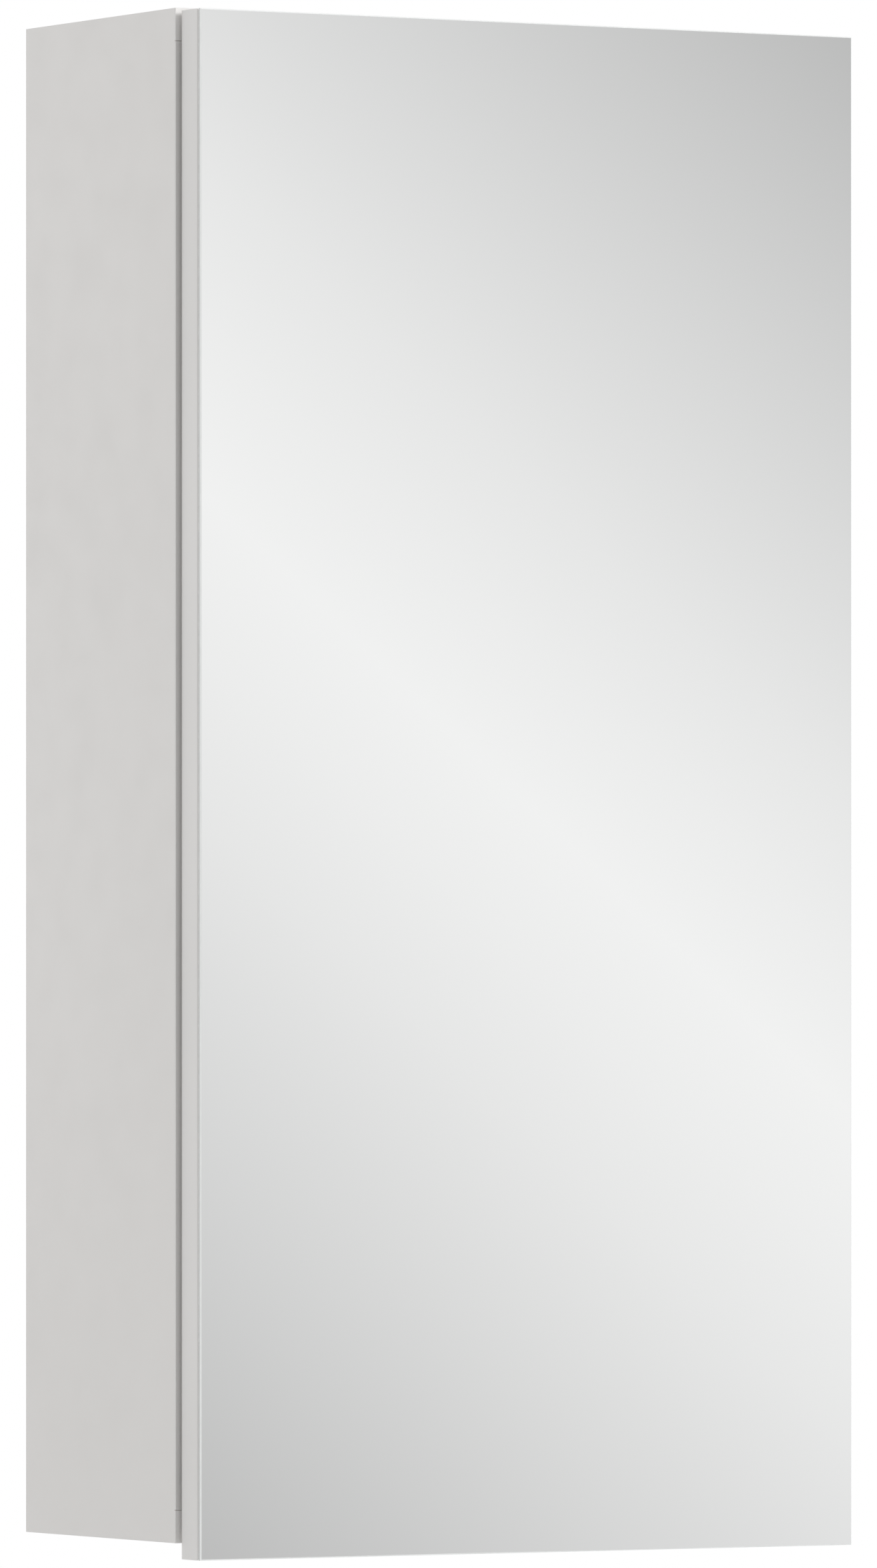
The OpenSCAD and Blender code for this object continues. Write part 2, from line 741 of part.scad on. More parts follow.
// The door's outer form without the glass, rounded along its front and back edges
module door_form() {
    intersection() {
        raised(door_low, door_high) rounded_rect([-door_edge, door_front], [door_edge, door_back], edge_round);
        translate([-door_edge, 0, 0]) rotate([90, 0, 90]) linear_extrude(2 * door_edge)
            rounded_rect([door_front, door_low], [door_back, door_high], edge_round);
    }
}

module door_edging_upright(left) {
    color(white_edge) mirrored(left) intersection() {
        door_form();
        block([door_edge - door_edging_t, door_front, door_low], [door_edge, door_back, door_high]);
    }
}

module door_edging_level(low) {
    color(white_edge) intersection() {
        door_form();
        block([-door_edge + door_edging_t, door_front, low],
            [door_edge - door_edging_t, door_back, low + door_edging_t]);
    }
}

module bumper_pads() {
    pad_x = -(side_in + board_t / 2);
    color(clear_rubber) for (z = [pad_from_end, carcass_h - pad_from_end])
        rod_y([pad_x, door_back, z], door_gap, pad_r);
}

module mirror_tape() {
    span = 2 * (door_edge - tape_margin) - tape_w;
    color(tape_black) for (i = [0 : tape_count - 1]) {
        x = -span / 2 + i * span / (tape_count - 1);
        block([x - tape_w / 2, tape_front, door_low + tape_margin],
            [x + tape_w / 2, door_front, door_high - tape_margin]);
    }
}

// Half outline of the glass: its depth against half its width or height
module glass_outline(half) {
    front = half - mirror_arris;
    rear = half - mirror_rear_arris;
    front_y = mirror_front + mirror_arris;
    rear_y = tape_front - mirror_rear_arris;
    polygon([[-rear, tape_front], [rear, tape_front], [half, rear_y], [half, front_y], [front, mirror_front],
        [-front, mirror_front], [-half, front_y], [-half, rear_y]]);
}

module mirror_glass() {
    half_h = (door_high - door_low) / 2;
    mid_z = (door_high + door_low) / 2;
    color(mirror_grey) intersection() {
        raised(door_low - eps, door_high + eps) glass_outline(door_edge);
        translate([-door_edge - eps, 0, mid_z]) rotate([0, 90, 0]) linear_extrude(2 * door_edge + 2 * eps)
            glass_outline(half_h);
    }
}

side_panel(true);  // side_panel_left
side_panel(false);  // side_panel_right
level_panel(true);  // top_panel
level_panel(false);  // bottom_panel
back_panel();
front_edging_level(top_under);  // front_edging_top
front_edging_level(0);  // front_edging_bottom
front_edging_upright(true);  // front_edging_left
front_edging_upright(false);  // front_edging_right
corner_dowels();
cam_bolts();
cam_locks();
cam_caps();
shelf(shelf_lower_z);  // shelf_lower
shelf(shelf_upper_z);  // shelf_upper
shelf_pins();
hanger_body(true);  // hanger_body_left
hanger_body(false);  // hanger_body_right
hanger_hook(true);  // hanger_hook_left
hanger_hook(false);  // hanger_hook_right
hanger_cover(true);  // hanger_cover_left
hanger_cover(false);  // hanger_cover_right
hanger_screws();
hinge_plate(hinge_zs[1]);  // hinge_plate_upper
hinge_plate(hinge_zs[0]);  // hinge_plate_lower
hinge_plate_screws();
hinge_arm(hinge_zs[1]);  // hinge_arm_upper
hinge_arm(hinge_zs[0]);  // hinge_arm_lower
hinge_arm_screws();
hinge_arm_pins();
hinge_outer_link(hinge_zs[1]);  // hinge_outer_link_upper
hinge_outer_link(hinge_zs[0]);  // hinge_outer_link_lower
hinge_inner_link(hinge_zs[1]);  // hinge_inner_link_upper
hinge_inner_link(hinge_zs[0]);  // hinge_inner_link_lower
hinge_cup(hinge_zs[1]);  // hinge_cup_upper
hinge_cup(hinge_zs[0]);  // hinge_cup_lower
hinge_cup_pins();
hinge_cup_screws();
door_board();
door_edging_level(door_high - door_edging_t);  // door_edging_top
door_edging_level(door_low);  // door_edging_bottom
door_edging_upright(true);  // door_edging_left
door_edging_upright(false);  // door_edging_right
bumper_pads();
mirror_tape();
mirror_glass();
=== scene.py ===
"""Looks of a wall-hung mirror cabinet: rounded pieces, procedural materials, light and camera."""

import json
import math

import bmesh
import bpy
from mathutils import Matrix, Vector


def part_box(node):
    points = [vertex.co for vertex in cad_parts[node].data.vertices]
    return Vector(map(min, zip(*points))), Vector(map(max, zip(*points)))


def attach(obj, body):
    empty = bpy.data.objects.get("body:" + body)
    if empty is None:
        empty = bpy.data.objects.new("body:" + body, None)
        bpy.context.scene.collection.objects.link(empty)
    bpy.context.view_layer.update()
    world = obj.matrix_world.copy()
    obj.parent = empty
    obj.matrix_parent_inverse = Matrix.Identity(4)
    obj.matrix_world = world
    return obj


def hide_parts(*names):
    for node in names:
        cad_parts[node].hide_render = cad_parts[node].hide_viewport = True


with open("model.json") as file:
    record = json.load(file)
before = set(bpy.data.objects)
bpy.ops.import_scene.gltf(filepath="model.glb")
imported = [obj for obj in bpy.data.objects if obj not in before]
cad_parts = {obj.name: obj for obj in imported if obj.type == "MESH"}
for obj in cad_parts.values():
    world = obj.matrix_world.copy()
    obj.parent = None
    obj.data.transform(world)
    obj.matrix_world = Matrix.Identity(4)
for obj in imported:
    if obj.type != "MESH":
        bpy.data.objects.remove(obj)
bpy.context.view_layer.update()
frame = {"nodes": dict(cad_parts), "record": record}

MM = 0.001
MICRON = 0.001 * MM
BODIES = {n: body for body, names in frame["record"]["behaviour"]["bodies"].items() for n in names}


# Colours and node trees


def linear(*levels):
    """The linear colour of sRGB levels from 0 to 255."""
    out = []
    for level in levels:
        s = level / 255
        out.append(s / 12.92 if s <= 0.04045 else ((s + 0.055) / 1.055) ** 2.4)
    return (*out, 1.0)


def toned(level, green, blue):
    """Gives colours by a shift of level; their green and blue lie that many levels below red."""
    def tone(shift=0):
        red = level + shift
        return linear(red, red - green, red - blue)
    return tone


class Graph:
    """A node tree that starts empty."""

    def __init__(self, tree):
        self.tree = tree
        tree.nodes.clear()

    def add(self, kind, **values):
        node = self.tree.nodes.new(kind)
        for key, value in values.items():
            setattr(node, key, value)
        return node

    def link(self, a, b):
        self.tree.links.new(a, b)

    def math(self, operation, *terms):
        """The result of an operation on numbers or sockets."""
        node = self.add("ShaderNodeMath", operation=operation)
        for socket, term in zip(node.inputs, terms):
            if isinstance(term, (int, float)):
                socket.default_value = term
            else:
                self.link(term, socket)
        return node.outputs["Value"]

    def ramp(self, value, stops):
        """The colour that stops, pairs of position and colour, give a value."""
        node = self.add("ShaderNodeValToRGB")
        elements = node.color_ramp.elements
        while len(elements) < len(stops):
            elements.new(0.5)
        for element, (position, color) in zip(elements, stops):
            element.position = position
            element.color = color
        self.link(value, node.inputs["Fac"])
        return node.outputs["Color"]

    def between(self, value, start, end, low=0.0, high=1.0, **values):
        """Runs from low to high as a value goes from start to end."""
        node = self.add("ShaderNodeMapRange", **values)
        sockets = {"From Min": start, "From Max": end, "To Min": low, "To Max": high}
        for socket, number in sockets.items():
            node.inputs[socket].default_value = number
        self.link(value, node.inputs["Value"])
        return node.outputs["Result"]


# Nearly all of a noise's values lie between these
NOISE_LOW = 0.3
NOISE_HIGH = 0.7
# Brightness of a metal's dull spots, as a share of its colour
DULL_SHARE = 0.86


class Finish(Graph):
    """A material round one Principled shader, with the textures that its surface needs."""

    def __init__(self, name, color, roughness, **sockets):
        self.material = bpy.data.materials.new(name)
        self.material.use_nodes = True
        super().__init__(self.material.node_tree)
        self.bsdf = self.add("ShaderNodeBsdfPrincipled")
        self.surface = self.add("ShaderNodeOutputMaterial").inputs["Surface"]
        self.link(self.bsdf.outputs["BSDF"], self.surface)
        self.set("Base Color", color)
        self.set("Roughness", roughness)
        for socket, value in sockets.items():
            self.set(socket.replace("_", " "), value)
        self.place = self.add("ShaderNodeTexCoord").outputs["Object"]
        self.normal = None

    def set(self, socket, value):
        self.bsdf.inputs[socket].default_value = value

    def stretched(self, stretch, place=None):
        """A place, or else the object's own, scaled along each axis."""
        place = place or self.place
        if stretch is None:
            return place
        mapping = self.add("ShaderNodeMapping")
        mapping.inputs["Scale"].default_value = stretch
        self.link(place, mapping.inputs["Vector"])
        return mapping.outputs["Vector"]

    def noise(self, scale, detail=2.0, stretch=None, output="Fac"):
        node = self.add("ShaderNodeTexNoise")
        node.inputs["Scale"].default_value = scale
        node.inputs["Detail"].default_value = detail
        self.link(self.stretched(stretch), node.inputs["Vector"])
        return node.outputs[output]

    def cells(self, scale, place=None, feature="F1"):
        """Random colours of cells, and the distance from each cell's middle."""
        node = self.add("ShaderNodeTexVoronoi", feature=feature)
        node.inputs["Scale"].default_value = scale
        self.link(place or self.place, node.inputs["Vector"])
        return node.outputs["Color"], node.outputs["Distance"]

    def warped(self, scale, amount):
        """The place, shifted by a noise of up to amount, in metres."""
        shift = self.add("ShaderNodeVectorMath", operation="MULTIPLY_ADD")
        shift.inputs[1].default_value = (amount, amount, amount)
        self.link(self.noise(scale, output="Color"), shift.inputs[0])
        self.link(self.place, shift.inputs[2])
        return shift.outputs["Vector"]

    def paint(self, value, stops):
        self.link(self.ramp(value, stops), self.bsdf.inputs["Base Color"])

    def sheen_between(self, value, low, high):
        """Lets the roughness run from low to high with a noise."""
        roughness = self.between(value, NOISE_LOW, NOISE_HIGH, low, high)
        self.link(roughness, self.bsdf.inputs["Roughness"])

    def relief(self, height, depth):
        """Bumps as deep as depth, in metres, on top of any bumps before."""
        node = self.add("ShaderNodeBump")
        node.inputs["Strength"].default_value = 1.0
        node.inputs["Distance"].default_value = depth
        self.link(height, node.inputs["Height"])
        if self.normal is not None:
            self.link(self.normal, node.inputs["Normal"])
        self.normal = node.outputs["Normal"]
        self.link(self.normal, self.bsdf.inputs["Normal"])


# Materials


def melamine(name, level, fine):
    tone = toned(level, 2, 4.5)
    f = Finish(name, tone(), 0.42)
    f.paint(f.noise(5, 3), [(0.35, tone(-1.5)), (0.65, tone(0.5))])
    f.sheen_between(f.noise(45, 3), 0.38, 0.46)
    f.relief(f.noise(300), 14 * MICRON)
    f.relief(f.noise(fine), 8 * MICRON)
    return f.material


def edging(name, stretch, level=223):
    tone = toned(level, 1.6, 3.6)
    f = Finish(name, tone(), 0.36)
    f.paint(f.noise(8), [(0.35, tone(-1)), (0.65, tone(1.5))])
    f.sheen_between(f.noise(160, 3, stretch), 0.3, 0.42)
    f.relief(f.noise(700, stretch=stretch), 8 * MICRON)
    return f.material


def metal(name, color, low, high, stretch=None, depth=6 * MICRON):
    f = Finish(name, color, (low + high) / 2, Metallic=1.0)
    dull = (*(DULL_SHARE * c for c in color[:3]), 1.0)
    f.paint(f.noise(260, 4, stretch), [(NOISE_LOW, dull), (NOISE_HIGH, color)])
    f.sheen_between(f.noise(900, 4, stretch), low, high)
    f.relief(f.noise(2400, stretch=stretch), depth)
    return f.material


def chipboard(name, stretch):
    chip_scale = 620
    f = Finish(name, linear(190, 158, 112), 0.9)
    chips, depth = f.cells(chip_scale, f.stretched(stretch, f.warped(2.2 * chip_scale, 2.2 * MM)))
    fine = f.noise(2600, 3, stretch)
    blend = f.add("ShaderNodeMix")
    blend.inputs["Factor"].default_value = 0.35
    f.link(chips, blend.inputs["A"])
    f.link(fine, blend.inputs["B"])
    f.paint(blend.outputs["Result"], [(0.22, linear(132, 99, 64)), (0.38, linear(180, 145, 100)),
                                      (0.6, linear(203, 172, 126)), (0.8, linear(219, 193, 150))])
    f.relief(depth, 150 * MICRON)
    f.relief(f.noise(1900, 4), 60 * MICRON)
    return f.material


def hardboard():
    f = Finish("brown_hardboard", linear(140, 104, 70), 0.82)
    f.paint(f.noise(900, 6), [(0.3, linear(118, 84, 54)), (0.55, linear(143, 107, 72)),
                              (0.75, linear(160, 124, 88))])
    f.relief(f.noise(700, 5), 50 * MICRON)
    return f.material


def beech():
    f = Finish("beech_wood", linear(214, 182, 142), 0.6)
    dark, pale = linear(196, 158, 116), linear(224, 194, 156)
    f.paint(f.noise(500, 4, (0.06, 1, 1)), [(NOISE_LOW, dark), (NOISE_HIGH, pale)])
    f.relief(f.noise(900, 3, (0.05, 1, 1)), 40 * MICRON)
    return f.material


def moulded(name, level, low, high, grain):
    tone = toned(level, 0, 2)
    f = Finish(name, tone(), (low + high) / 2)
    f.paint(f.noise(30), [(0.35, tone(-3)), (0.65, tone(1))])
    f.sheen_between(f.noise(220, 3), low, high)
    f.relief(f.cells(grain, feature="SMOOTH_F1")[1], 30 * MICRON)
    return f.material


def float_glass():
    f = Finish("float_glass", (0.955, 0.985, 0.972, 1), 0.0, Transmission_Weight=1.0, IOR=1.52)
    f.relief(f.noise(9, 1), 20 * MICRON)
    return f.material


def glass_edge():
    f = Finish("ground_glass_edge", (0.35, 0.68, 0.56, 1), 0.22, Transmission_Weight=0.55, IOR=1.52)
    dark, pale = (0.3, 0.62, 0.5, 1), (0.42, 0.74, 0.62, 1)
    f.paint(f.noise(600, 3), [(NOISE_LOW, dark), (NOISE_HIGH, pale)])
    f.relief(f.noise(2500), 12 * MICRON)
    return f.material


def bumper_rubber():
    f = Finish("clear_bumper", (0.9, 0.93, 0.93, 1), 0.14, Transmission_Weight=0.75, IOR=1.48)
    f.sheen_between(f.noise(700), 0.1, 0.22)
    f.relief(f.noise(900), 10 * MICRON)
    return f.material


def foam_tape():
    tone = toned(34, 0, -1)
    f = Finish("black_foam_tape", tone(), 0.92)
    f.paint(f.noise(1800, 3), [(0.35, tone(-12)), (0.7, tone(10))])
    f.relief(f.cells(2600)[1], 120 * MICRON)
    return f.material


def silver():
    f = Finish("mirror_silver", (0.93, 0.935, 0.93, 1), 0.012, Metallic=1.0)
    dull, bright = (0.925, 0.93, 0.926, 1), (0.935, 0.94, 0.936, 1)
    f.paint(f.noise(3, 1), [(NOISE_LOW, dull), (NOISE_HIGH, bright)])
    f.relief(f.noise(5, 1), 2 * MICRON)
    return f.material


def ground_edge(name, level, roughness):
    tone = toned(level, -2, -1)
    f = Finish(name, tone(), roughness)
    f.paint(f.noise(500, 3, (1, 1, 0.4)), [(NOISE_LOW, tone(-3)), (NOISE_HIGH, tone(3))])
    f.relief(f.noise(1600, stretch=(1, 1, 0.3)), 12 * MICRON)
    return f.material


def mirror_paint():
    tone = toned(196, -3, -2)
    f = Finish("mirror_back_paint", tone(), 0.55)
    f.paint(f.noise(40, 3), [(0.35, tone(-5)), (0.65, tone(5))])
    f.relief(f.noise(900), 20 * MICRON)
    return f.material


# Grain and sheen run along the pieces: the upright ones along Z, the level ones along X
WHITE_BOARD = melamine("white_melamine", 223, 1800)
BACK_WHITE = melamine("white_lacquer", 220, 2600)
EDGING_Z = edging("white_edging_upright", (1, 1, 0.03))
EDGING_X = edging("white_edging_level", (0.03, 1, 1))
# The front faces of the upright edging strips get this darker white, a painted shade for the gap
# between the carcass and the door
EDGING_FRONT_PAINTED_SHADE = edging("white_edging_front_painted_shade", (1, 1, 0.03), 215)
NICKEL = metal("nickel_plate", (0.69, 0.66, 0.6, 1), 0.16, 0.28)
ZINC = metal("zinc_plate", (0.66, 0.69, 0.72, 1), 0.28, 0.42, (1, 1, 0.25))
DIE_CAST = metal("die_cast_zinc", (0.52, 0.53, 0.54, 1), 0.4, 0.55, depth=30 * MICRON)
CHIPBOARD_Z = chipboard("raw_chipboard_upright", (1.25, 1, 0.42))
CHIPBOARD_X = chipboard("raw_chipboard_level", (0.42, 1, 1.25))
HARDBOARD = hardboard()
BEECH = beech()
PLASTIC = moulded("white_moulded_plastic", 230, 0.38, 0.5, 1500)
ACETAL = moulded("grey_acetal", 128, 0.3, 0.42, 2200)
GLASS = float_glass()
GLASS_EDGE = glass_edge()
BUMPER = bumper_rubber()
TAPE = foam_tape()
SILVER = silver()
MIRROR_EDGE = ground_edge("mirror_ground_edge", 206, 0.35)
# The arris is painted paler than the ground edge: a painted highlight for the light the polished
# bevel catches
MIRROR_ARRIS_PAINTED_HIGHLIGHT = ground_edge("mirror_polished_arris_painted_highlight", 230, 0.2)
MIRROR_PAINT = mirror_paint()


# Pieces

WELD = 3 * MICRON
FLAT_ANGLE = math.radians(0.6)
SHARP_ANGLE = math.radians(40)
SMOOTH_ANGLE = math.radians(42)
SHORT = 3 * MM
# A face whose normal has this much along an axis looks along it
FACING = 0.9


def from_cad(node):
    """A clean copy of a CAD node's mesh, with whole flat faces."""
    bm = bmesh.new()
    bm.from_mesh(frame["nodes"][node].data)
    bmesh.ops.remove_doubles(bm, verts=bm.verts, dist=WELD)
    bmesh.ops.dissolve_limit(bm, angle_limit=FLAT_ANGLE, verts=bm.verts, edges=bm.edges)
    for face in bm.faces:
        face.material_index = 0
    return bm


def sharp(edge):
    return len(edge.link_faces) == 2 and edge.calc_face_angle_signed(0.0) > SHARP_ANGLE


def round_edges(bm, width, pick=None, segments=3, clamp=True):
    """Rounds the convex edges that pick allows."""
    edges = [e for e in bm.edges if sharp(e) and (pick is None or pick(e))]
    bmesh.ops.bevel(bm, geom=edges, offset=width, segments=segments, profile=0.5,
                    affect="EDGES", clamp_overlap=clamp)


def middle(edge):
    return (edge.verts[0].co + edge.verts[1].co) / 2


def long_edge(edge):
    return edge.calc_length() > SHORT


def make(bm, name, materials, body, smooth=SMOOTH_ANGLE):
    """Turns a mesh into a shown piece on a body, shaded smooth up to an angle."""
    for face in bm.faces:
        face.smooth = True
    for edge in bm.edges:
        turn = edge.calc_face_angle(0.0)
        edge.smooth = len(edge.link_faces) == 2 and turn < smooth
    mesh = bpy.data.meshes.new(name)
    bm.to_mesh(mesh)
    bm.free()
    for material in materials:
        mesh.materials.append(material)
    piece = bpy.data.objects.new(name, mesh)
    bpy.context.scene.collection.objects.link(piece)
    weighted = piece.modifiers.new("weighted", "WEIGHTED_NORMAL")
    weighted.keep_sharp = True
    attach(piece, body)
    return piece


def stand_in(bm, node, materials, smooth=SMOOTH_ANGLE):
    """Makes the piece that is shown instead of a CAD node."""
    piece = make(bm, node + "_finish", materials, BODIES[node], smooth)
    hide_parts(node)
    return piece


def rounded(node, materials, width, pick=long_edge, segments=3, sort=None, clamp=True):
    """A CAD node with rounded edges and its faces sorted by material."""
    bm = from_cad(node)
    if sort is not None:
        for face in bm.faces:
            face.material_index = sort(face)
    if width:
        round_edges(bm, width, pick, segments, clamp)
    return stand_in(bm, node, materials)


def repaint(node, material):
    materials = frame["nodes"][node].data.materials
    materials.clear()
    materials.append(material)


def lathe(bm, profile, centre, steps=40):
    """A form turned about a line along Y through centre, from pairs of radius and depth."""
    turns = [2 * math.pi * i / steps for i in range(steps)]
    rings = []
    for radius, depth in profile:
        around = turns if radius else [0]
        places = [(radius * math.cos(a), depth, radius * math.sin(a)) for a in around]
        rings.append([bm.verts.new(centre + Vector(place)) for place in places])
    for low, high in zip(rings, rings[1:]):
        for i in range(steps):
            k = (i + 1) % steps
            corners = [low[i % len(low)], low[k % len(low)],
                       high[k % len(high)], high[i % len(high)]]
            bm.faces.new(list(dict.fromkeys(corners)))
    bmesh.ops.recalc_face_normals(bm, faces=bm.faces)


# Carcass boards: melamine faces, raw front and rear edges, edging on the sides' ends
BOARD_LOW, BOARD_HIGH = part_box("side_panel_left")
FRONT_Y = BOARD_LOW.y
BOARD_END = 0.5 * MM
RAW_REAR = 1 * MM
RAW_FRONT = 0.1 * MM


def at_rear(face):
    return face.normal.y > FACING and face.calc_center_median().y > -RAW_REAR


def side_face(face):
    n, c = face.normal, face.calc_center_median()
    if at_rear(face) or (n.y < -FACING and c.y < FRONT_Y + RAW_FRONT):
        return 1
    at_end = c.z < BOARD_LOW.z + BOARD_END or c.z > BOARD_HIGH.z - BOARD_END
    return 2 if abs(n.z) > FACING and at_end else 0


def panel_face(face):
    return 1 if at_rear(face) or abs(face.normal.x) > FACING else 0


def rear_edge(edge):
    return long_edge(edge) and middle(edge).y > FRONT_Y + 1 * MM


for side in ("left", "right"):
    rounded("side_panel_" + side, [WHITE_BOARD, CHIPBOARD_Z, EDGING_X], 0.25 * MM, rear_edge, 2,
            side_face)
for level in ("top", "bottom"):
    rounded(level + "_panel", [WHITE_BOARD, CHIPBOARD_X], 0.15 * MM, rear_edge, 2, panel_face)
rounded("back_panel", [BACK_WHITE, HARDBOARD], 0.1 * MM, long_edge, 1,
        lambda face: 0 if face.normal.y < -0.5 else 1)

# Front edging, whose side strips end a hairline short of the top and bottom strips
EDGING_R = 0.3 * MM
EDGING_PROUD = 0.6 * MM
HAIRLINE = 0.12 * MM


def proud_edge(edge):
    return middle(edge).y < FRONT_Y - EDGING_PROUD


for part in ("left", "right"):
    # The strips' front faces take the darker edging, which is painted shade for the gap behind the
    # door
    strip = rounded("front_edging_" + part, [EDGING_Z, EDGING_FRONT_PAINTED_SHADE], EDGING_R, proud_edge,
                    sort=lambda face: 1 if face.normal.y < -FACING else 0)
    strip_low, strip_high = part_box("front_edging_" + part)
    for vert in strip.data.vertices:
        if vert.co.z > strip_high.z - 2 * EDGING_R:
            vert.co.z -= HAIRLINE
        elif vert.co.z < strip_low.z + 2 * EDGING_R:
            vert.co.z += HAIRLINE
for part in ("top", "bottom"):
    rounded("front_edging_" + part, [EDGING_X], EDGING_R, proud_edge)

# Door board and edging, which are rounded in CAD
rounded("door_board", [WHITE_BOARD], 0)
for part in ("left", "right"):
    rounded("door_edging_" + part, [EDGING_Z], 0)
for part in ("top", "bottom"):
    rounded("door_edging_" + part, [EDGING_X], 0)

# Glass, told apart by how far its faces look along Y
GLASS_FLAT = 0.95
GLASS_SLOPE = 0.3


def glass_face(face):
    """Silver in front, paint behind, a polished arris round the front whose paler colour is a
    painted highlight, and ground edge elsewhere.
    """
    n = face.normal.y
    if n < -GLASS_FLAT:
        return 0
    if n < -GLASS_SLOPE:
        return 3
    return 2 if n > GLASS_FLAT else 1


rounded("mirror_glass", [SILVER, MIRROR_EDGE, MIRROR_PAINT, MIRROR_ARRIS_PAINTED_HIGHLIGHT], 0.06 * MM, long_edge, 2,
        glass_face)
repaint("mirror_tape", TAPE)

# Shelves and pins
for level in ("lower", "upper"):
    bm = from_cad("shelf_" + level)
    round_edges(bm, 0.6 * MM, long_edge, 1)
    bm.normal_update()
    for face in bm.faces:
        face.material_index = 0 if abs(face.normal.z) > FACING else 1
    stand_in(bm, "shelf_" + level, [GLASS, GLASS_EDGE])
rounded("shelf_pins", [NICKEL], 0.25 * MM, None, 2)

# Hangers, whose screws end just short of the sliding hooks
HOOK_ROOM = 0.3 * MM
TIP_DEPTH = 0.01 * MM
COVER_EDGE = 6 * MM
for side in ("left", "right"):
    rounded("hanger_body_" + side, [PLASTIC], 0.4 * MM)
    rounded("hanger_hook_" + side, [ZINC], 0.3 * MM)
    rounded("hanger_cover_" + side, [PLASTIC], 0.5 * MM, lambda e: e.calc_length() > COVER_EDGE,
            4)
bm = from_cad("hanger_screws")
tip_y = max(v.co.y for v in bm.verts)
for vert in bm.verts:
    if vert.co.y > tip_y - TIP_DEPTH:
        vert.co.y = tip_y - HOOK_ROOM
round_edges(bm, 0.2 * MM, None, 2)
stand_in(bm, "hanger_screws", [ZINC])
rounded("cam_caps", [PLASTIC], 0.3 * MM, None, 3)

# Hinges, with the rounding of their edges in millimetres
HINGE_PARTS = {"plate": 0.3, "arm": 0.25, "outer_link": 0.2, "inner_link": 0.3, "cup": 0.2}
HINGE_FASTENERS = {"plate_screws": 0.25, "arm_screws": 0.25, "cup_screws": 0.25,
                   "arm_pins": 0.12, "cup_pins": 0.12}
for level in ("upper", "lower"):
    for part, width in HINGE_PARTS.items():
        rounded(f"hinge_{part}_{level}", [NICKEL], width * MM, None, 2,
                clamp=part != "outer_link")
for part, width in HINGE_FASTENERS.items():
    rounded("hinge_" + part, [ZINC], width * MM, None, 2)

# Grey damper blocks on both sides of the linkage in each cup
PLAY = 0.2 * MM
FLANGE_R = 19 * MM
CUP_FLOOR = 0.9 * MM
BLOCK_R = 16.5 * MM - PLAY
BLOCK_Z = 8.4 * MM
BLOCK_H = 7.5 * MM
BLOCK_TOP = 0.5 * MM
BLOCK_STEPS = 24
for level in ("upper", "lower"):
    cup_low, cup_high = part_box("hinge_cup_" + level)
    mid_z = (cup_low.z + cup_high.z) / 2
    cup_x = cup_high.x - FLANGE_R
    floor_y = cup_low.y + CUP_FLOOR + PLAY
    half = math.acos(BLOCK_Z / BLOCK_R)
    turns = [half * (2 * i / BLOCK_STEPS - 1) for i in range(BLOCK_STEPS + 1)]
    bm = bmesh.new()
    for way in (-1, 1):
        ring = [(cup_x + BLOCK_R * math.sin(a), floor_y, mid_z + way * BLOCK_R * math.cos(a))
                for a in turns]
        face = bm.faces.new([bm.verts.new(corner) for corner in ring])
        top = bmesh.ops.extrude_face_region(bm, geom=[face])["geom"]
        top_verts = [v for v in top if isinstance(v, bmesh.types.BMVert)]
        bmesh.ops.translate(bm, vec=(0, BLOCK_H, 0), verts=top_verts)
    bmesh.ops.recalc_face_normals(bm, faces=bm.faces)
    round_edges(bm, BLOCK_TOP, lambda e: middle(e).y > floor_y + BLOCK_H - BLOCK_TOP, 3)
    make(bm, "hinge_damper_" + level, [ACETAL], "door")

# Domed bumpers that touch the carcass with their crowns, as shares of their radius and height
DOME = [(0, 0), (0.96, 0), (1, 0.06), (0.985, 0.25), (0.93, 0.45), (0.82, 0.64), (0.64, 0.82),
        (0.4, 0.94), (0.2, 0.99), (0, 1)]
DOME_ANGLE = math.radians(80)
pads_low, pads_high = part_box("bumper_pads")
pad_r = (pads_high.x - pads_low.x) / 2
pad_h = pads_high.y - pads_low.y
bm = bmesh.new()
for z in (pads_low.z + pad_r, pads_high.z - pad_r):
    centre = Vector(((pads_low.x + pads_high.x) / 2, pads_low.y, z))
    lathe(bm, [(r * pad_r, d * pad_h) for r, d in DOME], centre)
stand_in(bm, "bumper_pads", [BUMPER], DOME_ANGLE)

# Hidden fittings keep their CAD shape
repaint("corner_dowels", BEECH)
repaint("cam_bolts", ZINC)
repaint("cam_locks", DIE_CAST)


# Stage

scene = bpy.context.scene
scene.view_settings.view_transform = "Standard"


def stage_object(name, bm, material):
    mesh = bpy.data.meshes.new(name)
    bm.to_mesh(mesh)
    bm.free()
    mesh.materials.append(material)
    obj = bpy.data.objects.new(name, mesh)
    scene.collection.objects.link(obj)
    return obj


# Pale floor well below the cabinet, which fades into the white background and is clear from below
FLOOR_AT = (0, -0.08, -0.36)
FLOOR_R = 4.0
FLOOR_CLEAR = 0.02
FLOOR_SOLID = 0.7
f = Finish("pale_floor", (0.88, 0.88, 0.88, 1), 0.9)
gradient = f.add("ShaderNodeTexGradient", gradient_type="SPHERICAL")
f.link(f.stretched((1 / FLOOR_R, 1 / FLOOR_R, 1)), gradient.inputs["Vector"])
fade = f.between(gradient.outputs["Fac"], FLOOR_CLEAR, FLOOR_SOLID)
from_above = f.math("SUBTRACT", 1.0, f.add("ShaderNodeNewGeometry").outputs["Backfacing"])
mix = f.add("ShaderNodeMixShader")
f.link(f.math("MULTIPLY", fade, from_above), mix.inputs["Fac"])
f.link(f.add("ShaderNodeBsdfTransparent").outputs["BSDF"], mix.inputs[1])
f.link(f.bsdf.outputs["BSDF"], mix.inputs[2])
f.link(mix.outputs["Shader"], f.surface)
bm = bmesh.new()
bmesh.ops.create_circle(bm, cap_ends=True, segments=96, radius=FLOOR_R)
floor = stage_object("floor", bm, f.material)
